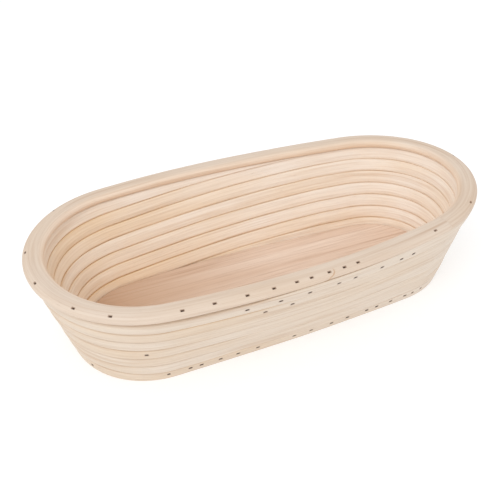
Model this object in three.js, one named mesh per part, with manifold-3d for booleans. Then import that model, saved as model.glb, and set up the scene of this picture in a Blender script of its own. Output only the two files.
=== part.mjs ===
// Oval proving basket (banneton): one long cane wound up in seven rows on a wooden board,
// closed by a heavier cane round the mouth and held together by brads.
// Millimetres, +Z up, +X along the basket, front towards -Y. The origin is on the surface that the
// basket stands on, under the middle of its length and width.

import * as THREE from 'three';
import { mergeVertices } from 'three/addons/utils/BufferGeometryUtils.js';
import Module from 'manifold-3d';

// ---------------------------------------------------------------- driving dimensions

const GAP = 0.3;               // play between pieces that touch

// The outline at each level is four arcs that meet smoothly; at the top it is the outermost line
// of the rim.
const END_CENTRE = 89.7;       // centre of each end arc, from the middle of the basket, at the top
const END_CENTRE_STEP = 0.74;  // how much further out it is one row below
const END_RADIUS = 85.3;       // radius of the end arcs at the top
const ROW_FLARE = 3.6;         // how much smaller it is one row below
const BACK_BOW = [500, 685];   // how far in front of the middle the back side's arc is centred,
const FRONT_BOW = [673, 9000]; // and behind it the front side's arc: at the top and at the floor

// Wound and bent by hand, the oval isn't quite even.
const EGG = 0.07;              // share by which it is wider towards the left and narrower to the right
const LEAN_RIGHT = 10.6;       // how far the tip of the right end lies behind the middle line
const LEAN_LEFT = 2;           // the same on the left

// The wall, wound clockwise as seen from above.
const ROWS = 7;
const CANE = 9.9;              // diameter of the wall cane
const SANDED_TO = 4.4;         // the outside is sanded flat at this distance from the cane's centre
const ROW_RISE = 9.8;          // from one row to the next, upwards
const WALL_INSET = 7.3;        // from the outline to the centre of the wall cane
const STEP_UP = 200;           // length of wall along which every turn climbs one row
const STEP_UP_LEAD = 16;       // how far before the back side the climb begins
const CANE_START = 28;         // where the tapered start of the cane lies in that length
const STEPS_PER_TURN = 44;
const CANE_STEPS = 315;        // a little over seven turns

// The rim cane and its scarf joint in the front.
const RIM_WIDTH = 14.6;
const RIM_HEIGHT = 8.2;
const SCARF_LENGTH = 40;
const SCARF_END = 6;           // where the joint comes out on the front face

// The board that the lowest row is wound on.
const BOARD_THICKNESS = 6;
const BOARD_BEVEL = 0.5;
const BOARD_PLAY = 0.8;        // between the board's edge and the lowest row
const BOARD_SIDES = 88;

// Brads, 18 gauge.
const BRAD_LENGTH = 14;
const BRAD_THICKNESS = 1.2;
const HEAD_WIDTH = 2.2;
const HEAD_DEPTH = 0.9;
const SHANK_WIDTH = 1.2;
const HEAD_SUNK = 0.9;         // below the surface that the brad is driven into

// Where the brads sit: distances along the outline from the middle of the front, + towards +X.
const RIM_BRADS = [-243, -205, -165, -139, -94, -73.5, -52, -34, -18, -7.5, 5.5, 17, 27.5, 95, 145];
const RIM_BRADS_BEHIND = [225, 285, 345, 405, -415, -355, -300];
const TOP_ROW_BRADS = [-52, -28.5, -7.5, 14.5, 27.5, 49.5, 66.5, 77.5];
const SECOND_ROW_BRADS = [-38, -18];
const FOURTH_ROW_BRADS = [-123];
const BASE_BRADS = [
  -185, -108, -90, -81.5, -66.5, -52.5, -36.5, -6, 8.5, 26.5, 41, 59, 68.5, 82, 96, 104.5, 116.5,
];
const BASE_BRADS_BEHIND = [165, 215, 265, 315, 365, -240, -300];
const RIM_BRAD_INSET = 2.8;    // from the rim's outermost line to its brads
const RIM_BRAD_RAISE = 3.2;    // from the middle of the rim's height up to its brads
const RIM_BRAD_SLOPE = 55;     // degrees below level, from the rim down into the top row
const ROW_BRAD_SLOPE = 33;     // degrees below level, from a row down into the next one
const ROW_BRAD_RAISE = 1.2;    // from the middle of a row up to its brads
const BASE_BRAD_HEIGHT = 6.6;

// ---------------------------------------------------------------- materials

function wood(color, roughness) {
  return new THREE.MeshStandardMaterial({ color, roughness, metalness: 0 });
}

const wallMaterial = wood(0xefdcc2, 0.7);
const rimMaterial = wood(0xecd9c4, 0.7);
const boardMaterial = wood(0xdcbd9c, 0.75);
const bradMaterial = new THREE.MeshStandardMaterial({ color: 0x6d5a4a, roughness: 0.5, metalness: 0.8 });

// ---------------------------------------------------------------- the outline

// The arcs at a level, counted in rows from the floor, clockwise from where the climb begins. The
// left end's arc is in two parts, the short first one and the long last one.
function arcsAt(level) {
  const down = ROWS - level;
  const x = END_CENTRE + down * END_CENTRE_STEP;
  const radius = END_RADIUS - down * ROW_FLARE;
  const [back, front] = [BACK_BOW, FRONT_BOW].map(
    ([top, floor]) => 1 / THREE.MathUtils.lerp(1 / top, 1 / floor, down / ROWS),
  );
  const right = Math.atan2(back, x);
  const left = Math.PI - right;
  const frontRight = -Math.atan2(front, x);
  const frontLeft = -Math.PI - frontRight;
  const lead = STEP_UP_LEAD / END_RADIUS;
  return [
    { x: -x, y: 0, radius, from: left + lead, to: left },
    { x: 0, y: -back, radius: radius + Math.hypot(x, back), from: left, to: right },
    { x, y: 0, radius, from: right, to: frontRight },
    { x: 0, y: front, radius: radius + Math.hypot(x, front), from: frontRight, to: frontLeft },
    { x: -x, y: 0, radius, from: frontLeft, to: left + lead - 2 * Math.PI },
  ];
}

const arcLengths = arcsAt(ROWS).map(({ radius, from, to }) => radius * (from - to));
const arcStarts = arcLengths.map((_, i) => arcLengths.slice(0, i).reduce((sum, next) => sum + next, 0));
const outlineLength = arcStarts[4] + arcLengths[4];

// Point at so many turns round the basket, at a level, so far outside the outline (or inside, if
// negative).
function outlinePoint(turns, level, offset) {
  const distance = (turns - Math.floor(turns)) * outlineLength;
  const i = arcStarts.findLastIndex((start) => start <= distance);
  const { x, y, radius, from, to } = arcsAt(level)[i];
  const angle = THREE.MathUtils.lerp(from, to, (distance - arcStarts[i]) / arcLengths[i]);
  const even = new THREE.Vector2(
    x + (radius + offset) * Math.cos(angle),
    y + (radius + offset) * Math.sin(angle),
  );
  const towardsRight = even.x / (END_CENTRE + END_RADIUS);
  const lean = (towardsRight > 0 ? LEAN_RIGHT : LEAN_LEFT) * towardsRight ** 2;
  return new THREE.Vector2(even.x, even.y * (1 - EGG * towardsRight) + lean);
}

// Level outward direction at a place.
function outwards(turns, level) {
  const along = outlinePoint(turns + 1e-4, level, 0).sub(outlinePoint(turns - 1e-4, level, 0)).normalize();
  return new THREE.Vector2(-along.y, along.x);
}

// Point at a place, so far outside the outline of its level and so high.
function place(turns, level, offset, height) {
  const point = outlinePoint(turns, level, offset);
  return new THREE.Vector3(point.x, point.y, height);
}

// Turns at the place that is a given distance along the outline from the middle of the front.
const turnsAtFront = (arcStarts[3] + arcLengths[3] / 2) / outlineLength;

function turnsAt(distance) {
  return turnsAtFront - distance / outlineLength;
}

// ---------------------------------------------------------------- bending a cane

// Extrudes a section as a straight unit length and bends it along a route. The route gives, for
// each share of the length, the section's centre, its outward direction and how far it is
// flattened. A closed route has no end faces.
function bentCane(section, sides, steps, route, closed = false) {
  const straight = new THREE.ExtrudeGeometry(section, {
    depth: 1,
    steps,
    curveSegments: sides,
    bevelEnabled: false,
  });
  const source = straight.getAttribute('position');
  const first = closed ? straight.groups[1].start : 0;
  const bent = new THREE.BufferGeometry();
  const positions = [];
  for (let i = first; i < source.count; i++) {
    const share = Math.round(source.getZ(i) * steps) / steps;
    const { centre, out, flatness } = route(closed ? share % 1 : share);
    positions.push(
      centre.x + out.x * source.getX(i),
      centre.y + out.y * source.getX(i),
      centre.z + flatness * source.getY(i),
    );
  }
  bent.setAttribute('position', new THREE.Float32BufferAttribute(positions, 3));
  return mergeVertices(bent, 1e-4);
}

// ---------------------------------------------------------------- solids

const wasm = await Module();
wasm.setup();

function solidOf(geometry) {
  const bare = geometry.clone();
  bare.deleteAttribute('normal');
  bare.deleteAttribute('uv');
  const merged = mergeVertices(bare, 1e-4);
  return new wasm.Manifold(new wasm.Mesh({
    numProp: 3,
    vertProperties: Float32Array.from(merged.getAttribute('position').array),
    triVerts: Uint32Array.from(merged.getIndex().array),
  }));
}

function geometryOf(solid) {
  const mesh = solid.getMesh();
  const geometry = new THREE.BufferGeometry();
  geometry.setAttribute('position', new THREE.BufferAttribute(mesh.vertProperties, 3));
  geometry.setIndex(new THREE.BufferAttribute(mesh.triVerts, 1));
  geometry.computeVertexNormals();
  return geometry;
}

// ---------------------------------------------------------------- the wall

// Rows climbed at a place inside the step-up length: 0 before it, 1 after it, eased at both ends.
function climb(turns) {
  const share = Math.min(turns * outlineLength / STEP_UP, 1);
  return share - Math.sin(2 * Math.PI * share) / (4 * Math.PI);
}

function rowHeight(level) {
  return CANE / 2 + (level - 0.5) * ROW_RISE;
}

// The cane lies between two levels, counted in rows from the floor. Where its start and its end
// taper, they are closer than one row.
function wallRoute(turns) {
  const wound = Math.floor(turns);
  const climbed = wound + climb(turns - wound);
  const below = THREE.MathUtils.clamp(climbed - 1, 0, ROWS);
  const above = THREE.MathUtils.clamp(climbed, 0, ROWS);
  const level = (below + above) / 2;
  const thickness = above - below;
  const flare = THREE.MathUtils.clamp(level, 0.5, ROWS - 0.5);
  return {
    centre: place(turns, flare, -WALL_INSET, rowHeight(level)),
    out: outwards(turns, flare),
    flatness: thickness - 0.04 * (1 - thickness),
  };
}

function wallCane() {
  const sanded = Math.acos(SANDED_TO / (CANE / 2));
  const section = new THREE.Shape().absarc(0, 0, CANE / 2, sanded, 2 * Math.PI - sanded, false);
  const start = CANE_START / outlineLength;
  const turns = CANE_STEPS / STEPS_PER_TURN;
  return bentCane(section, 4, CANE_STEPS, (share) => wallRoute(start + share * turns));
}

// ---------------------------------------------------------------- the rim

const rimOffset = -RIM_WIDTH / 2;
const rimHeight = rowHeight(ROWS + 0.5) + RIM_HEIGHT / 2 - ROW_RISE / 2 + GAP;

// Thin slanting slice that parts the ring into two lapped ends.
function scarfSlice() {
  const slice = new THREE.BoxGeometry(2 * SCARF_LENGTH, GAP, 2 * RIM_HEIGHT);
  slice.rotateZ(Math.atan2(-RIM_WIDTH, SCARF_LENGTH));
  const middle = place(turnsAt(SCARF_END - SCARF_LENGTH / 2), ROWS, rimOffset, rimHeight);
  slice.translate(middle.x, middle.y, middle.z);
  return slice;
}

function rimCane() {
  const section = new THREE.Shape().absellipse(0, 0, RIM_WIDTH / 2, RIM_HEIGHT / 2, 0, 2 * Math.PI, false);
  const start = CANE_START / outlineLength;
  return bentCane(section, 5, STEPS_PER_TURN, (share) => ({
    centre: place(start + share, ROWS, rimOffset, rimHeight),
    out: outwards(start + share, ROWS),
    flatness: 1,
  }), true);
}

// ---------------------------------------------------------------- the board

function boardGeometry() {
  const edge = -WALL_INSET - CANE / 2 - BOARD_PLAY - BOARD_BEVEL;
  const points = Array.from({ length: BOARD_SIDES }, (_, i) => outlinePoint(i / BOARD_SIDES, 0.5, edge));
  const board = new THREE.ExtrudeGeometry(new THREE.Shape(points), {
    depth: BOARD_THICKNESS - 2 * BOARD_BEVEL,
    bevelThickness: BOARD_BEVEL,
    bevelSize: BOARD_BEVEL,
    bevelSegments: 1,
  });
  board.translate(0, 0, BOARD_BEVEL);
  return board;
}

// ---------------------------------------------------------------- brads

// A brad stands along Y, head up, with its head's top at the origin.
function bradGeometry() {
  const profile = new THREE.Shape([
    new THREE.Vector2(-HEAD_WIDTH / 2, 0),
    new THREE.Vector2(-HEAD_WIDTH / 2, -HEAD_DEPTH),
    new THREE.Vector2(-SHANK_WIDTH / 2, -HEAD_DEPTH),
    new THREE.Vector2(-SHANK_WIDTH / 4, -BRAD_LENGTH),
    new THREE.Vector2(SHANK_WIDTH / 4, -BRAD_LENGTH),
    new THREE.Vector2(SHANK_WIDTH / 2, -HEAD_DEPTH),
    new THREE.Vector2(HEAD_WIDTH / 2, -HEAD_DEPTH),
    new THREE.Vector2(HEAD_WIDTH / 2, 0),
  ]);
  const brad = new THREE.ExtrudeGeometry(profile, { depth: BRAD_THICKNESS, bevelEnabled: false });
  brad.translate(0, 0, -BRAD_THICKNESS / 2);
  return brad;
}

// The hole that a brad needs, open to the outside.
function pocketGeometry() {
  const depth = BRAD_LENGTH + GAP + 3;
  const pocket = new THREE.BoxGeometry(HEAD_WIDTH + 2 * GAP, depth, BRAD_THICKNESS + 2 * GAP);
  pocket.translate(0, 3 - depth / 2, 0);
  return pocket;
}

// Each brad is described by where its head goes and how steeply it is driven in.
function bradAt(distance, level, offset, height, slope) {
  const turns = turnsAt(distance);
  const out = outwards(turns, level);
  const tilt = THREE.MathUtils.degToRad(slope);
  const back = new THREE.Vector3(out.x * Math.cos(tilt), out.y * Math.cos(tilt), Math.sin(tilt));
  const side = new THREE.Vector3(-out.y, out.x, 0);
  const across = new THREE.Vector3().crossVectors(side, back);
  const matrix = new THREE.Matrix4().makeBasis(side, back, across);
  const head = place(turns, level, offset, height).addScaledVector(back, -HEAD_SUNK);
  return { head, rotation: new THREE.Euler().setFromRotationMatrix(matrix) };
}

function onRim(distance) {
  return bradAt(distance, ROWS, -RIM_BRAD_INSET, rimHeight + RIM_BRAD_RAISE, RIM_BRAD_SLOPE);
}

// Row 1 is the highest.
function onRow(row, distance) {
  const level = ROWS + 0.5 - row;
  const height = rowHeight(level) + ROW_BRAD_RAISE;
  return bradAt(distance, level, SANDED_TO - WALL_INSET, height, ROW_BRAD_SLOPE);
}

// Base brads point at the middle of the board's thickness.
function onBase(distance) {
  const drop = BASE_BRAD_HEIGHT - BOARD_THICKNESS / 2;
  const slope = THREE.MathUtils.radToDeg(Math.asin(drop / BRAD_LENGTH));
  return bradAt(distance, 0.5, SANDED_TO - WALL_INSET, BASE_BRAD_HEIGHT, slope);
}

const brads = [
  ...[...RIM_BRADS, ...RIM_BRADS_BEHIND].map((d, i) => ({ name: `rim_brad_${i + 1}`, ...onRim(d) })),
  ...TOP_ROW_BRADS.map((d, i) => ({ name: `top_row_brad_${i + 1}`, ...onRow(1, d) })),
  ...SECOND_ROW_BRADS.map((d, i) => ({ name: `second_row_brad_${i + 1}`, ...onRow(2, d) })),
  ...FOURTH_ROW_BRADS.map((d, i) => ({ name: `fourth_row_brad_${i + 1}`, ...onRow(4, d) })),
  ...[...BASE_BRADS, ...BASE_BRADS_BEHIND].map((d, i) => ({ name: `base_brad_${i + 1}`, ...onBase(d) })),
];

// Cuts the pockets of all brads out of a piece.
function drilled(geometry, ...cuts) {
  let solid = solidOf(geometry);
  for (const cut of cuts) {
    solid = solid.subtract(solidOf(cut));
  }
  for (const { head, rotation } of brads) {
    const pocket = pocketGeometry();
    pocket.applyMatrix4(new THREE.Matrix4().makeRotationFromEuler(rotation));
    pocket.translate(head.x, head.y, head.z);
    solid = solid.subtract(solidOf(pocket));
  }
  return geometryOf(solid);
}

// ---------------------------------------------------------------- the basket

function piece(name, geometry, material) {
  const mesh = new THREE.Mesh(geometry, material);
  mesh.name = name;
  return mesh;
}

const basket = new THREE.Group();
basket.add(piece('base_board', drilled(boardGeometry()), boardMaterial));
basket.add(piece('wall_cane', drilled(wallCane()), wallMaterial));
basket.add(piece('rim_cane', drilled(rimCane(), scarfSlice()), rimMaterial));
for (const { name, head, rotation } of brads) {
  const brad = piece(name, bradGeometry(), bradMaterial);
  brad.position.copy(head);
  brad.rotation.copy(rotation);
  basket.add(brad);
}

// Puts the middle of the length and width over the origin.
const middle = new THREE.Box3().setFromObject(basket).getCenter(new THREE.Vector3());
basket.position.set(-middle.x, -middle.y, 0);

export default basket;
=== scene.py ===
import math

import bpy
import numpy as np
from mathutils import Matrix, Vector


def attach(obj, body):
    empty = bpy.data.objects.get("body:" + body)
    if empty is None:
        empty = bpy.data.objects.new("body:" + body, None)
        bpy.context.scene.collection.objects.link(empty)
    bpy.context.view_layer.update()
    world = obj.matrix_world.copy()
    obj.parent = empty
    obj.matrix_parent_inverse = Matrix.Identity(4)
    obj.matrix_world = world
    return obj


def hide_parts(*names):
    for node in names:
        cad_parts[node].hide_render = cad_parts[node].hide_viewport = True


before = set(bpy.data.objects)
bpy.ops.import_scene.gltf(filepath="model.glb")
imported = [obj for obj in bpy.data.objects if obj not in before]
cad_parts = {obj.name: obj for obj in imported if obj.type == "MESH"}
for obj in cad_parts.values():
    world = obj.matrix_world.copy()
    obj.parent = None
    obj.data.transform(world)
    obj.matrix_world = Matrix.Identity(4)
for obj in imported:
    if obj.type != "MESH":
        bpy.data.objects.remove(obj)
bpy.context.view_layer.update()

# Looks of an oval proving basket. Lengths are millimetres in the basket's own axes (+X along it,
# the front towards -Y, +Z up) until a mesh is made; Blender's unit is the metre.
MM = 0.001

# ---------------------------------------------------------------- shape of the basket

# The outline at each level is four arcs that meet smoothly, at the top the rim's outermost line.
ROWS = 7
END_CENTRE = 89.7
END_CENTRE_STEP = 0.74
END_RADIUS = 85.3
ROW_FLARE = 3.6
BACK_BOW = (500, 685)          # at the top and at the floor
FRONT_BOW = (673, 9000)
EGG = 0.07                     # share by which it is wider towards the left
LEAN_RIGHT = 10.6              # how far the tips of the ends lie behind the middle line
LEAN_LEFT = 2
HALF_LENGTH = END_CENTRE + END_RADIUS

CANE = 9.9                     # wall cane, wound clockwise as seen from above
SANDED_TO = 4.4                # distance of the sanded outside from the cane's centre
ROW_RISE = 9.8
WALL_INSET = 7.3
STEP_UP = 200                  # length along which every turn climbs one row
STEP_UP_LEAD = 16              # how far before the back side's arc the climb begins
CANE_START = 5                 # from the climb's start to the cane's tip; the same before its end

RIM_WIDTH = 14.6
RIM_HEIGHT = 8.2
RIM_GAP = 0.3

BOARD_THICKNESS = 6
BOARD_PLAY = 0.8

# Brads: distances along the outline from the middle of the front, + towards +X.
RIM_BRADS = [-243, -205, -165, -139, -94, -73.5, -52, -34, -18, -7.5, 5.5, 17, 27.5, 95, 145]
RIM_BRADS_BEHIND = [225, 285, 345, 405, -415, -355, -300]
ROW_BRADS = {                  # by row, counted from the top
    1: [-52, -28.5, -7.5, 14.5, 27.5, 49.5, 66.5, 77.5],
    2: [-38, -18],
    4: [-123],
}
ROW_BRAD_NAMES = {1: "top_row_brad", 2: "second_row_brad", 4: "fourth_row_brad"}
BASE_BRADS = [
    -185, -108, -90, -81.5, -66.5, -52.5, -36.5, -6, 8.5, 26.5, 41, 59, 68.5, 82, 96, 104.5, 116.5,
]
BASE_BRADS_BEHIND = [165, 215, 265, 315, 365, -240, -300]
RIM_BRAD_RAISE = 3.2           # above the middle of the rim or of the row
ROW_BRAD_RAISE = 1.2
BASE_BRAD_HEIGHT = 6.6         # above the table

NUDGE = 1e-4                   # turns, for directions worked out from two places near each other
WAVES = 4                      # in the unevenness of a cane
WAVE_SPREAD = (0.6, 1.7)       # shares of the stated wavelength

rng = np.random.default_rng(7)


def mix(a, b, share):
    """a where the share is 0, b where it is 1, straight between."""
    return a + (b - a) * share


def smooth(low, high, value):
    """0 up to low, 1 from high on, with a smooth rise between."""
    share = np.clip((value - low) / (high - low), 0, 1)
    return share * share * (3 - 2 * share)


def unit(vectors):
    """The vectors, each made one long."""
    return vectors / np.linalg.norm(vectors, axis=-1, keepdims=True)


def arcs_at(level):
    """Centre, radius and the two angles of each arc, clockwise from where the climb begins."""
    down = ROWS - level
    x = END_CENTRE + down * END_CENTRE_STEP
    radius = END_RADIUS - down * ROW_FLARE
    back, front = (
        1 / mix(1 / top, 1 / floor, down / ROWS) for top, floor in (BACK_BOW, FRONT_BOW)
    )
    right = np.arctan2(back, x)
    left = np.pi - right
    front_right = -np.arctan2(front, x)
    front_left = -np.pi - front_right
    lead = STEP_UP_LEAD / END_RADIUS
    return [
        (-x, 0, radius, left + lead, left),
        (0, -back, radius + np.hypot(x, back), left, right),
        (x, 0, radius, right, front_right),
        (0, front, radius + np.hypot(x, front), front_right, front_left),
        (-x, 0, radius, front_left, left + lead - 2 * np.pi),
    ]


LENGTHS = [radius * (first - last) for _, _, radius, first, last in arcs_at(ROWS)]
STARTS = np.concatenate(([0], np.cumsum(LENGTHS)[:-1]))
OUTLINE = sum(LENGTHS)
FRONT_TURNS = (STARTS[3] + LENGTHS[3] / 2) / OUTLINE


def outline(turns, level, offset):
    """Points at so many turns round the basket, at a level, so far outside its outline."""
    values = (np.asarray(value, float) for value in (turns, level, offset))
    turns, level, offset = np.broadcast_arrays(*values)
    distance = (turns % 1) * OUTLINE
    arc = np.clip(np.searchsorted(STARTS, distance, "right") - 1, 0, len(LENGTHS) - 1)
    even = np.zeros(turns.shape + (2,))
    for i, (x, y, radius, first, last) in enumerate(arcs_at(level)):
        angle = mix(first, last, (distance - STARTS[i]) / LENGTHS[i])
        reach = radius + offset
        point = np.stack([x + reach * np.cos(angle), y + reach * np.sin(angle)], -1)
        even = np.where((arc == i)[..., None], point, even)
    share = even[..., 0] / HALF_LENGTH
    lean = np.where(share > 0, LEAN_RIGHT, LEAN_LEFT) * share**2
    return np.stack([even[..., 0], even[..., 1] * (1 - EGG * share) + lean], -1)


rim_line = outline(np.linspace(0, 1, 2000), ROWS, 0)
MIDDLE = (rim_line.min(0) + rim_line.max(0)) / 2


def place(turns, level, offset, height):
    """The same in three dimensions, measured from under the middle of the basket."""
    flat = outline(turns, level, offset) - MIDDLE
    return np.concatenate([flat, np.broadcast_to(height, flat.shape[:-1])[..., None]], -1)


def heading(turns):
    """Level direction in which the rim runs at so many turns."""
    return unit(place(turns + NUDGE, ROWS, 0, 0) - place(turns - NUDGE, ROWS, 0, 0))


def turns_at(distance):
    """Turns to a distance from the middle of the front."""
    return FRONT_TURNS - np.asarray(distance, float) / OUTLINE


def row_height(level):
    """Height of the wall cane's centre at a level."""
    return CANE / 2 + (level - 0.5) * ROW_RISE


def wander(position, wavelength, size):
    """Smooth unevenness along a cane, the sum of a few waves with seeded lengths and phases."""
    total = np.zeros_like(position)
    for _ in range(WAVES):
        length = wavelength * rng.uniform(*WAVE_SPREAD)
        total += np.sin(2 * np.pi * position / length + rng.uniform(0, 6.3))
    return total * size / 2


# ---------------------------------------------------------------- meshes

DETAIL_REACH = 3.2             # how far from a brad the finer stations go, and their step
DETAIL_STEP = 0.32
LEAST_STEP = 0.2               # a station nearer than this to the one before is left out


def grid_mesh(name, points, attributes, material, nodes, closed=False):
    """Mesh of a grid of points in mm, stations by section. The section is closed; the row of
    stations is closed too, or has a cap at each end."""
    stations, sides = points.shape[:2]
    index = np.arange(stations * sides).reshape(stations, sides)
    nearer = index if closed else index[:-1]
    further = np.roll(index, -1, 0) if closed else index[1:]
    corners = [nearer, np.roll(nearer, -1, 1), np.roll(further, -1, 1), further]
    faces = np.stack(corners, -1).reshape(-1, 4).tolist()
    if not closed:
        faces += [index[0][::-1].tolist(), index[-1].tolist()]
    mesh = bpy.data.meshes.new(name)
    mesh.from_pydata((points.reshape(-1, 3) * MM).tolist(), [], faces)
    mesh.polygons.foreach_set("use_smooth", np.ones(len(faces), bool))
    for key, values in attributes.items():
        values = np.asarray(values, np.float32)
        vector = values.ndim == 3
        layer = mesh.attributes.new(key, "FLOAT_VECTOR" if vector else "FLOAT", "POINT")
        layer.data.foreach_set("vector" if vector else "value", values.ravel())
    mesh.materials.append(material)
    piece = bpy.data.objects.new(name, mesh)
    bpy.context.scene.collection.objects.link(piece)
    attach(piece, "root")
    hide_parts(*nodes)
    return piece


def around(spots):
    """Fine stations around every one of the given turns."""
    window = np.arange(-DETAIL_REACH, DETAIL_REACH, DETAIL_STEP) / OUTLINE
    return (np.asarray(spots)[:, None] + window).ravel()


def stations_between(first, last, step, *finer):
    """Turns from first to last, a step in mm apart, with the finer ones that lie between them."""
    even = np.arange(first, last, step / OUTLINE)
    stations = np.unique(np.concatenate([even, [last], *finer]))
    stations = stations[(stations >= first) & (stations <= last)]
    apart = np.diff(stations) * OUTLINE > LEAST_STEP
    return stations[np.concatenate([[True], apart])]


def unrolled(position, through, up):
    """Coordinates in metres along, through and up a cane, as if it lay straight."""
    position = np.broadcast_to(position[:, None], through.shape)
    return np.stack([position, through, up], -1) * MM


# ---------------------------------------------------------------- brad holes

RIM_HEAD = (1.9, 0.9)          # visible size of a head, along the cane and across it
WALL_HEAD = (2.2, 1.35)
RIM_SUNK = 0.3                 # depth of the heads
WALL_SUNK = 0.08
HOLE_PLAY = 0.2                # round a head
HOLE_EXTRA = 0.15              # below a head
HOLE_REACH = 4                 # along the cane, where a hole still changes the surface
HOLE_EDGE = (0.8, 1.2)         # shares of a hole's half size between which its wall rises
BRUISE_AND_SHADE_EDGE = (0.9, 1.5)       # and between which the darkening fades: painted shade in the hole, bruised wood round it
DENT_DEPTH = 0.08              # of the shallow dent round a hole
DENT_RADIUS = 1.3
DENT_STRETCH = 1.5


def dimples(position, across, spots, head, sunk):
    """Depth (mm) and darkening (0 to 1) of the brad holes at grid points: painted shade in a hole
    and bruised wood round it. A point is known by its position along the cane and its distance
    across it, and a spot is such a pair."""
    depth = np.zeros(across.shape)
    bruise_and_hole_shade = np.zeros(across.shape)
    length, width = (size / 2 + HOLE_PLAY for size in head)
    for at, height in spots:
        near = np.abs(position - at) < HOLE_REACH
        along = (position[near] - at)[:, None]
        up = across[near] - height
        hole = np.maximum(np.abs(along) / length, np.abs(up) / width)
        dent = np.hypot(along / DENT_STRETCH, up) / DENT_RADIUS
        depth[near] += (sunk + HOLE_EXTRA) * (1 - smooth(*HOLE_EDGE, hole))
        depth[near] += DENT_DEPTH * np.exp(-(dent**2))
        bruise_and_hole_shade[near] = np.maximum(bruise_and_hole_shade[near], 1 - smooth(*BRUISE_AND_SHADE_EDGE, hole))
    return depth, bruise_and_hole_shade


# ---------------------------------------------------------------- the wall

WALL_STEP = 2.6                # between stations along the cane
CLIMB_EASING = 2 / 9           # share by which the climb starts and ends less steeply
OUTER_POINTS = 38              # of the section
INNER_POINTS = 28
INNER_SHAPE = 8                # superellipse exponents: 2 is round, more is squarer
OUTER_SHAPE_LEFT = 3.2
OUTER_SHAPE_RIGHT = 16
INNER_CROWN = 0.06             # share by which the inside falls back towards the grooves
PRESSED = 1.02                 # neighbouring rows are pressed into each other
FLUSH_OUT = 1.6                # how much further out and up the top row's outer edge reaches
FLUSH_UP = 4.6
FLUSH_LEVELS = (ROWS - 1.2, ROWS - 0.6)         # between which this comes in
TIP_THICKNESS = 0.03           # rows, at the cane's two tips
TIP_DEPTH = 0.85               # share of the full depth at the tips; the full depth is reached
TIP_FULL = 0.25                # where the cane is so many rows thick

# Wavelength in mm, and size as a share (height, depth, tone) or in mm (sway).
UNEVEN_HEIGHT = (90, 0.012)
UNEVEN_DEPTH = (130, 0.02)
SWAY = (110, 0.12)
UNEVEN_TONE = (300, 0.12)

# Where a change along the basket begins and ends: -1 is the left end's tip, 1 the right end's.
SHAPE_CHANGE = (-0.85, 0.1)
FLUSH_CHANGE = (-0.9, 0.0)
TINT_CHANGE = (-0.9, 0.7)

ROW_TONES = [0.75, 0.72, 0.45, 0.42, 0.40, 0.48, 0.62, 0.22, 0.2]   # golden, from the floor up
TONE_RIGHT = 0.3               # share of the tone that is left at the right end and outside
TONE_OUTSIDE = 0.4
INNER_LINE = 9                 # exponents: the more, the finer the stained line at the groove
OUTER_LINE = 14
STAIN = 0.22                   # of the inner grooves, more to the left and more at the floor
STAIN_LEFT = 0.4
STAIN_LOW = 0.4
OUTER_STAIN = 0.04             # of the outer grooves, more to the left
OUTER_STAIN_LEFT = 0.12
TOP_LINE_STAIN = 0.75          # more at the left, in the line under the top row
TOP_LINE_SPREAD = 0.1          # rows


def climb(turns):
    """Share of a row that a turn has climbed so far."""
    share = np.minimum(turns % 1 * OUTLINE / STEP_UP, 1)
    return share - CLIMB_EASING * np.sin(2 * np.pi * share) / (2 * np.pi)


def levels(turns):
    """Middle level and thickness, in rows, of the wall cane after so many turns."""
    climbed = np.floor(turns) + climb(turns)
    below = np.clip(climbed - 1, 0, ROWS)
    above = np.clip(climbed, 0, ROWS)
    return (below + above) / 2, above - below


def turns_on_row(distance, level):
    """Turns of the wall cane where it passes a distance from the middle of the front on a level."""
    return turns_at(distance) % 1 + level - 0.5


def superellipse(angle, exponent):
    """Shares out and up of the point at an angle on a superellipse."""
    cos = np.cos(angle)
    sin = np.sin(angle)
    power = 2 / exponent
    return np.sign(cos) * np.abs(cos) ** power, np.sign(sin) * np.abs(sin) ** power


def wall_section(outer_shape):
    """Section points: outward in mm, and up as a share of half the row distance."""
    up = np.sin(np.linspace(-np.pi / 2, np.pi / 2, OUTER_POINTS, endpoint=False))
    up = np.broadcast_to(up, (len(outer_shape), OUTER_POINTS))
    exponent = outer_shape[:, None]
    out = SANDED_TO * (1 - np.abs(up) ** exponent) ** (1 / exponent)
    angle = np.linspace(np.pi / 2, 3 * np.pi / 2, INNER_POINTS, endpoint=False)
    inner_out, inner_up = superellipse(angle, INNER_SHAPE)
    inner_out = -CANE / 2 * np.abs(inner_out) * (1 - INNER_CROWN * inner_up**2)
    inner = (len(outer_shape), INNER_POINTS)
    return (
        np.concatenate([out, np.broadcast_to(inner_out, inner)], 1),
        np.concatenate([up, np.broadcast_to(inner_up, inner)], 1),
    )


def wall_brads():
    """Name, distance, level and height above the row's middle of every brad in the wall."""
    brads = []
    for row, distances in ROW_BRADS.items():
        for i, distance in enumerate(distances):
            name = f"{ROW_BRAD_NAMES[row]}_{i + 1}"
            brads.append((name, distance, ROWS + 0.5 - row, ROW_BRAD_RAISE))
    for i, distance in enumerate(BASE_BRADS + BASE_BRADS_BEHIND):
        raised = BASE_BRAD_HEIGHT - row_height(0.5)
        brads.append((f"base_brad_{i + 1}", distance, 0.5, raised))
    return brads


def wall_frame(turns):
    """Level, thickness, centre, directions out and up, and row distance of the wall cane."""
    level, thickness = levels(turns)
    middle = np.clip(level, 0.5, ROWS - 0.5)
    centre = place(turns, middle, -WALL_INSET, row_height(level))
    higher = place(turns, middle + 0.5, -WALL_INSET, row_height(middle + 0.5))
    lower = place(turns, middle - 0.5, -WALL_INSET, row_height(middle - 0.5))
    rise = np.linalg.norm(higher - lower, axis=1)
    along = unit(np.gradient(centre, axis=0))
    up = unit(higher - lower)
    out = unit(np.cross(up, along))
    return level, thickness, centre, out, up, rise


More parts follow.
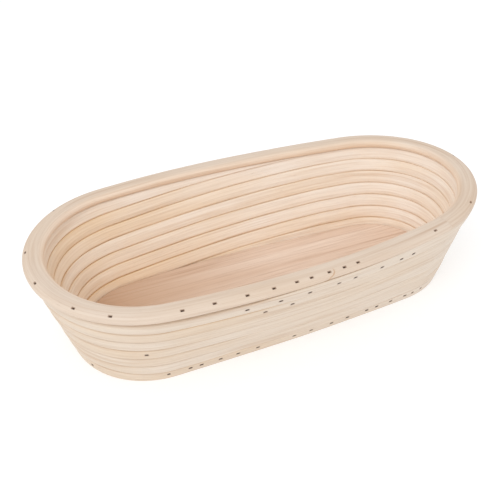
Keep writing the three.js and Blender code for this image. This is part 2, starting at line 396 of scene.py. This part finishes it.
def flush_share(level, towards_right):
    """Sanding has left the top row's outside flush with the rim, except at the left end."""
    return smooth(*FLUSH_LEVELS, level) * smooth(*FLUSH_CHANGE, towards_right)


def wall_tints(position, level, towards_right, section_up, outer):
    """Golden tone and brown stain, 0 to 1, at the points of the wall cane."""
    left = 1 - smooth(*TINT_CHANGE, towards_right)
    low = 1 - level / ROWS
    to_top_line = level + 0.5 * np.sign(section_up) - (ROWS - 1)
    top_line = np.exp(-(to_top_line**2) / (2 * TOP_LINE_SPREAD**2))
    inside = STAIN + STAIN_LEFT * left + STAIN_LOW * low
    inside = inside * np.abs(section_up) ** INNER_LINE
    outside = OUTER_STAIN + (TOP_LINE_STAIN * top_line + OUTER_STAIN_LEFT) * left
    outside = outside * np.abs(section_up) ** OUTER_LINE
    tone = np.interp(level, np.arange(len(ROW_TONES)) - 0.5, ROW_TONES)
    tone = tone + wander(position, *UNEVEN_TONE)[:, None]
    tone = tone * mix(TONE_RIGHT, 1, left) * np.where(outer, TONE_OUTSIDE, 1)
    return tone, np.where(outer, outside, inside)


def make_wall(material):
    """The wall cane: one section swept round all the rows, tapered at its start and its end."""
    first = CANE_START / OUTLINE
    last = ROWS + STEP_UP / OUTLINE - first
    brads = [(turns_on_row(distance, level), up) for _, distance, level, up in wall_brads()]
    turns = stations_between(first, last, WALL_STEP, around([turn for turn, _ in brads]))
    position = turns * OUTLINE
    level, thickness, centre, out, up, rise = wall_frame(turns)
    towards_right = centre[:, 0] / HALF_LENGTH
    shape = mix(OUTER_SHAPE_LEFT, OUTER_SHAPE_RIGHT, smooth(*SHAPE_CHANGE, towards_right))
    section_out, section_up = wall_section(shape)
    outer = section_out > 0

    half_height = PRESSED * rise * np.maximum(thickness, TIP_THICKNESS) / 2
    half_height = half_height * (1 + wander(position, *UNEVEN_HEIGHT))
    depth = mix(TIP_DEPTH, 1, np.minimum(thickness / TIP_FULL, 1))
    depth = depth * (1 + wander(position, *UNEVEN_DEPTH))
    flush = flush_share(level, towards_right)[:, None] * outer * (section_up + 1) / 2
    through = section_out * depth[:, None] + wander(position, *SWAY)[:, None] + FLUSH_OUT * flush
    across = section_up * half_height[:, None] + FLUSH_UP * flush**4
    spots = [(turn * OUTLINE, height) for turn, height in brads]
    hole, bruise_and_hole_shade = dimples(position, across, spots, WALL_HEAD, WALL_SUNK)
    through = through - hole * outer
    points = centre[:, None] + out[:, None] * through[..., None] + up[:, None] * across[..., None]
    points[..., 2] = np.maximum(points[..., 2], 0)

    level = level[:, None]
    towards_right = towards_right[:, None]
    tone, stain_and_shade = wall_tints(position, level, towards_right, section_up, outer)
    attributes = {
        "cane": unrolled(position, through, across),
        "tone": tone,
        "stain_and_shade": stain_and_shade,
        "bruise_and_hole_shade": bruise_and_hole_shade * outer,
        "outside": outer * 1.0,
    }
    return grid_mesh("wound_cane", points, attributes, material, ["wall_cane"])


# ---------------------------------------------------------------- the rim

RIM_STEP = 2.2                 # between stations along the rim
RIM_POINTS = 84                # of the section
RIM_CENTRE_HEIGHT = row_height(ROWS + 0.5) - ROW_RISE / 2 + RIM_GAP + RIM_HEIGHT / 2
RIM_SHAPE = 2.25               # superellipse exponent
RIM_START = 109                # distance of its first station from the middle of the front
RIM_WAVES = (3, 5, 8)          # waves on one turn, of the section's size and of the tone
RIM_WAVE_SIZE = 0.008          # shares
RIM_WAVE_TONE = 0.06
RIM_TONE = 0.16
RIM_TONE_INSIDE = 0.35         # added on the inside
RIM_SHADE = 0.35               # painted shade on the underside at the left end, laid on as stain
RIM_SHADE_CHANGE = (-0.9, 0.0) # where it fades along the basket
RIM_INSIDE = (0.35, 1.0)       # where inside, underside and outside begin and are complete, as
RIM_BELOW = (0.5, 1.0)         # shares of half the width inward, half the height downward
RIM_OUTSIDE = (-1.0, -0.45)    # and half the width outward

LAP_FIRST = -16                # distances from the middle of the front between which the lap's
LAP_LAST = 9                   # edge rises from the rim's underside to the tongue's tip
LAP_LOW = -4                   # girths between which it rises, from the rim's outermost line up
LAP_HIGH = 4.4
LAP_MARGIN = 4                 # how far past it the finer stations go, and their step
LAP_DETAIL = 0.35
LAP_STEP = 0.35                # height of the step, and how fast the step runs out
LAP_FADE = 6
LAP_EDGE = 0.25                # half the width of the step's slope, and the line's width on it
LAP_LINE = 0.4
LAP_STARTS = (LAP_LOW - 1, LAP_LOW)             # girths between which it fades in and out
LAP_ENDS = (LAP_HIGH - 0.6, LAP_HIGH + 2.5)
# Strength of the painted shadow line along the lap's edge.
LAP_SHADOW_STRENGTH = 0.75
STEEPEST = 1e-3                # least value under the root, so that the edge's slope stays finite


def rim_section():
    """Points of the rim's section in mm, outward and up, from the outermost one upwards."""
    angle = np.linspace(0, 2 * np.pi, RIM_POINTS, endpoint=False)
    out, up = superellipse(angle, RIM_SHAPE)
    return np.stack([RIM_WIDTH / 2 * out, RIM_HEIGHT / 2 * up], -1)


def lap(distance, girth):
    """Depth (mm) and painted shadow line of the step where the rim's left end ends in a tongue on
    top.
    """
    left_over = 1 - np.clip((girth - LAP_LOW) / (LAP_HIGH - LAP_LOW), 0, 1)
    edge = mix(LAP_FIRST, LAP_LAST, np.sqrt(1 - left_over**2))
    turn = np.sqrt(np.maximum(1 - left_over**2, STEEPEST))
    slope = (LAP_LAST - LAP_FIRST) / (LAP_HIGH - LAP_LOW) * left_over / turn
    beyond = (distance[:, None] - edge) / np.hypot(1, slope)
    fade = smooth(*LAP_STARTS, girth) * (1 - smooth(*LAP_ENDS, girth))
    step = LAP_STEP * smooth(-LAP_EDGE, LAP_EDGE, beyond)
    step = step * np.exp(-np.maximum(beyond, 0) / LAP_FADE)
    return step * fade, np.exp(-((beyond / LAP_LINE) ** 2)) * fade


def rim_tints(section, waves, lap_shadow_line, towards_right):
    """Golden tone, painted shade (under the rim at the left end and along the lap's edge) and share
    of outside, where the outer faces' painted shade goes, 0 to 1, at the points of the rim cane.
    """
    outward = section[:, 0] / (RIM_WIDTH / 2)
    downward = -section[:, 1] / (RIM_HEIGHT / 2)
    left = 1 - smooth(*RIM_SHADE_CHANGE, towards_right)
    tone = RIM_TONE + RIM_TONE_INSIDE * smooth(*RIM_INSIDE, -outward) + RIM_WAVE_TONE * waves
    shade = RIM_SHADE * smooth(*RIM_BELOW, downward) * left
    outside = np.broadcast_to(smooth(*RIM_OUTSIDE, outward), lap_shadow_line.shape)
    return tone, np.clip(shade + LAP_SHADOW_STRENGTH * lap_shadow_line, 0, 1), outside


def make_rim(material):
    """The rim cane: a closed ring, with the lap as a step and a painted shadow line."""
    first = turns_at(RIM_START)
    distances = RIM_BRADS + RIM_BRADS_BEHIND
    brads = [turns_at(distance) + turn for distance in distances for turn in (0, 1)]
    lap_first, lap_last = turns_at(LAP_LAST + LAP_MARGIN), turns_at(LAP_FIRST - LAP_MARGIN)
    joint = np.arange(lap_first, lap_last, LAP_DETAIL / OUTLINE)
    turns = stations_between(first, first + 1, RIM_STEP, around(brads), joint)[:-1]
    position = turns * OUTLINE
    distance = (FRONT_TURNS - turns) * OUTLINE
    centre = place(turns, ROWS, -RIM_WIDTH / 2, RIM_CENTRE_HEIGHT)
    up = np.broadcast_to([0.0, 0.0, 1.0], centre.shape)
    out = np.cross(up, heading(turns))

    section = rim_section()
    side_lengths = np.linalg.norm(np.diff(section, axis=0, prepend=section[:1]), axis=1)
    girth = np.cumsum(side_lengths)
    quarter = slice(RIM_POINTS // 4)
    brad_girth = np.interp(RIM_BRAD_RAISE, section[quarter, 1], girth[quarter])
    spots = [(turn * OUTLINE, brad_girth) for turn in brads]
    grid = (len(turns), RIM_POINTS)
    depth, bruise_and_hole_shade = dimples(position, np.broadcast_to(girth, grid), spots, RIM_HEAD, RIM_SUNK)
    from_outermost = np.where(girth > girth[-1] / 2, girth - girth[-1], girth)
    step, lap_shadow_line = lap(distance, np.broadcast_to(from_outermost, grid))

    waves = sum(np.sin(2 * np.pi * k * turns + k) / k for k in RIM_WAVES)
    normal = unit(section / np.array([RIM_WIDTH**2, RIM_HEIGHT**2]))
    shape = section * (1 + RIM_WAVE_SIZE * waves)[:, None, None]
    shape = shape - (depth + step)[..., None] * normal
    points = centre[:, None] + out[:, None] * shape[..., :1] + up[:, None] * shape[..., 1:]
    towards_right = centre[:, :1] / HALF_LENGTH
    tone, stain_and_shade, outside = rim_tints(section, waves[:, None], lap_shadow_line, towards_right)
    attributes = {
        "cane": unrolled(position, shape[..., 0], shape[..., 1]),
        "tone": tone,
        "stain_and_shade": stain_and_shade,
        "bruise_and_hole_shade": bruise_and_hole_shade,
        "outside": outside,
    }
    return grid_mesh("rim", points, attributes, material, ["rim_cane"], closed=True)


# ---------------------------------------------------------------- the board

BOARD_SIDES = 360
BOARD_RINGS = [                # from the underside to the top: insets in mm, shares of thickness
    (0.35, 0.0),
    (0.0, 0.35),
    (0.0, 0.65),
    (0.12, 0.9),
    (0.4, 1.0),
    (1.2, 1.0),
    (2.5, 1.0),
]


def make_board(material):
    """The board, with its edges rounded."""
    edge = -WALL_INSET - CANE / 2 - BOARD_PLAY
    turns = np.linspace(0, 1, BOARD_SIDES, endpoint=False)
    rings = [
        place(turns, 0.5, edge - inset, share * BOARD_THICKNESS) for inset, share in BOARD_RINGS
    ]
    return grid_mesh("plank", np.stack(rings), {}, material, ["base_board"])


# ---------------------------------------------------------------- brads

BRAD_SIDES = 24
BRAD_SHAPE = 40 / 9            # superellipse exponent of a head seen from the front
BRAD_TWIST = 0.1               # radians, how unevenly the heads are turned
BRAD_RINGS = [                 # from the head's top down: shares of its size, and depths in mm
    (0.5, 0.5, 0.03),
    (0.86, 0.8, 0.0),
    (1.0, 1.0, 0.14),
    (1.0, 1.0, 0.75),
    (0.55, 0.9, 0.9),
    (0.5, 0.85, 6.0),
]


def rim_brad_place(distance):
    """Surface point of the rim at a brad, and the directions outward and along there."""
    turns = turns_at(distance)
    along = heading(turns)
    quarter = rim_section()[:RIM_POINTS // 4]
    reach = np.interp(RIM_BRAD_RAISE, quarter[:, 1], quarter[:, 0])
    level_part, upward_part = unit(np.array([reach / RIM_WIDTH**2, RIM_BRAD_RAISE / RIM_HEIGHT**2]))
    out = np.cross([0, 0, 1.0], along) * level_part + np.array([0, 0, upward_part])
    surface = place(turns, ROWS, reach - RIM_WIDTH / 2, RIM_CENTRE_HEIGHT + RIM_BRAD_RAISE)
    return surface, out, along


def wall_brad_place(distance, level, above):
    """The same for a brad in the wall, so far above the middle of a row."""
    turns = turns_on_row(distance, level) + np.array([-NUDGE, 0, NUDGE])
    _, _, centre, out, up, _ = wall_frame(turns)
    flush = flush_share(level, centre[1, 0] / HALF_LENGTH) * (2 * above / CANE + 1) / 2
    surface = centre[1] + out[1] * (SANDED_TO + FLUSH_OUT * flush) + up[1] * above
    return surface, out[1], unit(centre[2] - centre[0])


def make_brad(name, spot, head, sunk, material):
    """A brad driven in at a spot, so that its head is sunk by so much."""
    surface, out, along = spot
    across = np.cross(out, along)
    twist = rng.normal(0, BRAD_TWIST)
    length_axis = along * math.cos(twist) + across * math.sin(twist)
    width_axis = across * math.cos(twist) - along * math.sin(twist)
    angle = np.linspace(0, 2 * np.pi, BRAD_SIDES, endpoint=False)
    cos, sin = superellipse(angle, BRAD_SHAPE)
    rings = []
    for length_share, width_share, depth in BRAD_RINGS:
        ring = cos[:, None] * head[0] / 2 * length_share * length_axis
        ring = ring + sin[:, None] * head[1] / 2 * width_share * width_axis
        rings.append(surface + ring - out * (sunk + depth))
    grid_mesh(name + "_steel", np.stack(rings)[::-1], {}, material, [name])


def make_brads(material):
    for i, distance in enumerate(RIM_BRADS + RIM_BRADS_BEHIND):
        spot = rim_brad_place(distance)
        make_brad(f"rim_brad_{i + 1}", spot, RIM_HEAD, RIM_SUNK, material)
    for name, distance, level, above in wall_brads():
        spot = wall_brad_place(distance, level, above)
        make_brad(name, spot, WALL_HEAD, WALL_SUNK, material)


# ---------------------------------------------------------------- materials

# Colours are sRGB, 0 to 255.
WALL_COLORS = {"pale": (251, 241, 230), "golden": (238, 206, 164), "groove_and_shade": (205, 158, 92)}
# On the rim the groove colour is used only for painted shade: under it at the left end and along
# the lap.
RIM_COLORS = {"pale": (248, 234, 221), "golden": (232, 202, 170), "groove_and_shade": (196, 146, 96)}
STREAK = (196, 150, 104)
FIBRE = (186, 148, 112)
LIGHT_FIBRE = (252, 240, 224)
PORE = (150, 112, 80)
OUTSIDE_SHADE = (231, 226, 220)       # painted shade: the colour outside is multiplied by this, so the outer faces the floor lights come out darker
# Painted shade inside a brad hole, and bruised wood round it.
HOLE_SHADE_AND_BRUISE = (120, 84, 56)

# Cells per metre of the noises, along the cane, through it and up it, or along X, Y and Z.
CANE_FIBRES = (18, 900, 900)
CANE_STREAKS = (7, 260, 260)
CANE_PATCHES = (14, 60, 60)
CANE_PORES = (120, 2600, 2600)
BOARD_YEARS = (2.2, 60, 20)
BOARD_GRAIN = (10, 420, 200)
BOARD_FIBRES = (40, 1900, 1900)
BOARD_PATCHES = (9, 14, 1)
STEEL_SPOTS = (1500, 1500, 1500)


def linear(color):
    """Linear colour, with alpha, of an sRGB one given in 0 to 255."""
    values = (((c / 255 + 0.055) / 1.055) ** 2.4 if c > 10 else c / 3295 for c in color)
    return (*values, 1)


class Shader:
    """A node material built up step by step."""

    def __init__(self, name):
        self.material = bpy.data.materials.new(name)
        self.material.use_nodes = True
        self.tree = self.material.node_tree
        self.surface = self.tree.nodes["Principled BSDF"]

    def set(self, socket, value):
        """Links an output to the socket, or gives it a constant."""
        if isinstance(value, bpy.types.NodeSocket):
            self.tree.links.new(value, socket)
        else:
            socket.default_value = value

    def add(self, kind, inputs=(), **settings):
        """A new node with its settings, its inputs linked or set."""
        node = self.tree.nodes.new(kind)
        for key, value in settings.items():
            setattr(node, key, value)
        for key, value in dict(inputs).items():
            self.set(node.inputs[key], value)
        return node

    def attribute(self, name, output="Fac"):
        return self.add("ShaderNodeAttribute", attribute_name=name).outputs[output]

    def position(self):
        return self.add("ShaderNodeNewGeometry").outputs["Position"]

    def math(self, operation, a, b, c=0.0, clamp=False):
        inputs = {0: a, 1: b, 2: c}
        node = self.add("ShaderNodeMath", inputs, operation=operation, use_clamp=clamp)
        return node.outputs[0]

    def noise(self, vector, cells, detail, roughness=0.55, distortion=0.0):
        """Noise of a vector in metres, with so many cells per metre."""
        stretched = self.add("ShaderNodeMapping", {"Vector": vector, "Scale": cells}).outputs[0]
        inputs = {"Vector": stretched, "Scale": 1.0, "Detail": detail}
        inputs |= {"Roughness": roughness, "Distortion": distortion}
        return self.add("ShaderNodeTexNoise", inputs).outputs["Fac"]

    def ramp(self, value, low, high):
        """0 at low and beyond it, 1 at high and beyond it, straight between."""
        inputs = {"Value": value, "From Min": low, "From Max": high}
        return self.add("ShaderNodeMapRange", inputs, clamp=True).outputs[0]

    def mix(self, share, a, b, blend="MIX"):
        node = self.add("ShaderNodeMix", data_type="RGBA", blend_type=blend)
        self.set(node.inputs[0], share)
        self.set(node.inputs[6], a)
        self.set(node.inputs[7], b)
        return node.outputs[2]

    def tint(self, below, mask, strength, color):
        """The colour below, with another over it where the mask is 1, at a strength."""
        return self.mix(self.math("MULTIPLY", mask, strength), below, linear(color))

    def bump(self, height, distance, strength, below=None):
        """Normal of a relief, its depth in metres, on top of the normal below."""
        inputs = {"Height": height, "Distance": distance, "Strength": strength}
        if below is not None:
            inputs["Normal"] = below
        return self.add("ShaderNodeBump", inputs).outputs[0]

    def finish(self, color, roughness, normal):
        self.set(self.surface.inputs["Base Color"], color)
        self.set(self.surface.inputs["Roughness"], roughness)
        self.set(self.surface.inputs["Normal"], normal)
        return self.material


def cane_material(name, colors):
    """Peeled cane: fine fibres along it, darker streaks and pores, golden patches and stained
    grooves.
    Painted shade darkens the outer faces, the rim's underside at the left end, the lap's edge and
    the brad holes.
    """
    shader = Shader(name)
    cane = shader.attribute("cane", "Vector")
    fibres = shader.noise(cane, CANE_FIBRES, 4)
    streaks = shader.noise(cane, CANE_STREAKS, 3)
    patches = shader.noise(cane, CANE_PATCHES, 2)
    pores = shader.noise(cane, CANE_PORES, 2)

    patchy = shader.math("MULTIPLY_ADD", patches, 0.7, -0.35)
    tone = shader.math("ADD", shader.attribute("tone"), patchy, clamp=True)
    color = shader.mix(tone, linear(colors["pale"]), linear(colors["golden"]))
    color = shader.tint(color, shader.ramp(streaks, 0.55, 0.75), 0.35, STREAK)
    color = shader.tint(color, shader.ramp(fibres, 0.42, 0.70), 0.22, FIBRE)
    color = shader.tint(color, shader.ramp(fibres, 0.48, 0.25), 0.25, LIGHT_FIBRE)
    color = shader.tint(color, shader.ramp(pores, 0.66, 0.78), 0.28, PORE)
    # Painted shade: the colour of the outer faces is darkened by multiplying.
    color = shader.mix(shader.attribute("outside"), color, linear(OUTSIDE_SHADE), "MULTIPLY")

    # Stained grooves in the wall; on the rim this is painted shade, under it at the left and along
    # the lap.
    uneven = shader.math("ADD", shader.ramp(streaks, 0.2, 0.8), 0.55)
    stain_and_shade = shader.math("MULTIPLY", shader.attribute("stain_and_shade"), uneven, clamp=True)
    color = shader.mix(stain_and_shade, color, linear(colors["groove_and_shade"]))
    # Painted shade inside each brad hole, with bruised wood round it.
    color = shader.tint(color, shader.attribute("bruise_and_hole_shade"), 0.75, HOLE_SHADE_AND_BRUISE)

    roughness = shader.math("MULTIPLY_ADD", fibres, 0.25, 0.5)
    normal = shader.bump(streaks, 0.0007, 0.35)
    normal = shader.bump(fibres, 0.00022, 0.55, normal)
    normal = shader.bump(pores, 0.00006, 0.4, normal)
    return shader.finish(color, roughness, normal)


def board_material():
    """Planed wood with its grain along X, with painted shade towards the left end, where the walls
    shade it.
    """
    shader = Shader("planed_board")
    position = shader.position()
    years = shader.noise(position, BOARD_YEARS, 2, roughness=0.5, distortion=0.35)
    grain = shader.noise(position, BOARD_GRAIN, 4)
    fibres = shader.noise(position, BOARD_FIBRES, 3)
    patches = shader.noise(position, BOARD_PATCHES, 2)
    along = shader.add("ShaderNodeSeparateXYZ", {"Vector": position}).outputs["X"]

    light, dark = linear((243, 223, 207)), linear((221, 191, 168))
    color = shader.mix(shader.ramp(years, 0.35, 0.68), light, dark)
    color = shader.tint(color, shader.ramp(grain, 0.5, 0.72), 0.45, (172, 128, 92))
    color = shader.tint(color, shader.ramp(fibres, 0.5, 0.75), 0.3, (158, 118, 84))
    color = shader.tint(color, shader.ramp(patches, 0.4, 0.7), 0.25, (240, 214, 192))
    # Painted shade: darker and tanner towards the left end.
    color = shader.tint(color, shader.ramp(along, 0.02, -0.13), 0.8, (186, 146, 112))

    roughness = shader.math("MULTIPLY_ADD", grain, 0.2, 0.6)
    normal = shader.bump(grain, 0.0004, 0.5)
    normal = shader.bump(fibres, 0.00012, 0.5, normal)
    return shader.finish(color, roughness, normal)


def steel_material():
    """Dark steel with duller spots."""
    shader = Shader("dull_steel")
    spots = shader.noise(shader.position(), STEEL_SPOTS, 3)
    color = shader.mix(shader.ramp(spots, 0.35, 0.7), linear((84, 60, 44)), linear((46, 34, 28)))
    shader.set(shader.surface.inputs["Metallic"], 0.5)
    return shader.finish(color, shader.ramp(spots, -0.5, 1.4), shader.bump(spots, 0.00005, 0.5))


def floor_material():
    """White that glows a little, so that it stays nearly white beside the basket."""
    shader = Shader("white_floor")
    shader.set(shader.surface.inputs["Base Color"], (0.6, 0.6, 0.6, 1))
    shader.set(shader.surface.inputs["Roughness"], 0.9)
    shader.set(shader.surface.inputs["Emission Color"], (1, 1, 1, 1))
    shader.set(shader.surface.inputs["Emission Strength"], 0.47)
    return shader.material


# ---------------------------------------------------------------- camera, floor and light

CAMERA_AZIMUTH = -21.9         # degrees, from straight in front towards +X
CAMERA_HEIGHT = 34.042         # degrees above level
CAMERA_ROLL = 2.228            # degrees
CAMERA_FOCUS = 54.703          # mm, on a 36 mm sensor
CAMERA_SENSOR = 36
CAMERA_OFFSET = (13.59, -33.889, 598.893)   # of the basket's middle, in the camera's own axes

FLOOR_REACH = 4.0              # metres from the middle, and below the basket
FLOOR_DROP = 0.0002
WORLD_STRENGTH = 0.86
KEY_PLACE = (-0.7, -0.8, 1.3)  # metres
KEY_SIZE = 0.8
KEY_POWER = 6.5                # watts


def camera_axes():
    """Directions right, up and forward of the camera."""
    angles = (CAMERA_AZIMUTH, CAMERA_HEIGHT, CAMERA_ROLL)
    azimuth, height, roll = (math.radians(angle) for angle in angles)
    right = Vector((math.cos(azimuth), math.sin(azimuth), 0))
    forward = Vector((
        -math.sin(azimuth) * math.cos(height),
        math.cos(azimuth) * math.cos(height),
        -math.sin(height),
    ))
    up = right.cross(forward)
    turned_right = math.cos(roll) * right - math.sin(roll) * up
    turned_up = math.sin(roll) * right + math.cos(roll) * up
    return turned_right, turned_up, forward


def make_camera():
    """The camera, in front of the basket and above it, looking down at it."""
    right, up, forward = camera_axes()
    x, y, z = CAMERA_OFFSET
    centre = -(right * x + up * y + forward * z) - Vector((*MIDDLE, 0))
    data = bpy.data.cameras.new("camera")
    data.lens = CAMERA_FOCUS
    data.sensor_width = CAMERA_SENSOR
    data.clip_start = 0.01
    camera = bpy.data.objects.new("camera", data)
    bpy.context.scene.collection.objects.link(camera)
    turn = Matrix((right, up, -forward)).transposed().to_4x4()
    camera.matrix_world = Matrix.Translation(centre * MM) @ turn
    bpy.context.scene.camera = camera


def make_floor():
    """A wide plain floor just under the basket."""
    mesh = bpy.data.meshes.new("floor")
    directions = ((-1, -1), (1, -1), (1, 1), (-1, 1))
    corners = [(x * FLOOR_REACH, y * FLOOR_REACH, -FLOOR_DROP) for x, y in directions]
    mesh.from_pydata(corners, [], [(0, 1, 2, 3)])
    mesh.materials.append(floor_material())
    floor = bpy.data.objects.new("floor", mesh)
    bpy.context.scene.collection.objects.link(floor)


def make_light():
    """Even white light from all round, and a weak large lamp from the front left."""
    world = bpy.data.worlds.new("studio")
    world.use_nodes = True
    background = world.node_tree.nodes["Background"]
    background.inputs["Color"].default_value = (1, 1, 1, 1)
    background.inputs["Strength"].default_value = WORLD_STRENGTH
    bpy.context.scene.world = world
    data = bpy.data.lights.new("key", "AREA")
    data.shape = "DISK"
    data.size = KEY_SIZE
    data.energy = KEY_POWER
    key = bpy.data.objects.new("key", data)
    key.location = KEY_PLACE
    key.rotation_euler = (-Vector(KEY_PLACE)).to_track_quat("-Z", "Y").to_euler()
    bpy.context.scene.collection.objects.link(key)
    bpy.context.scene.view_settings.view_transform = "Standard"


wall_material = cane_material("wall_cane_looks", WALL_COLORS)
rim_material = cane_material("rim_cane_looks", RIM_COLORS)
make_wall(wall_material)
make_rim(rim_material)
make_board(board_material())
make_brads(steel_material())
make_camera()
make_floor()
make_light()
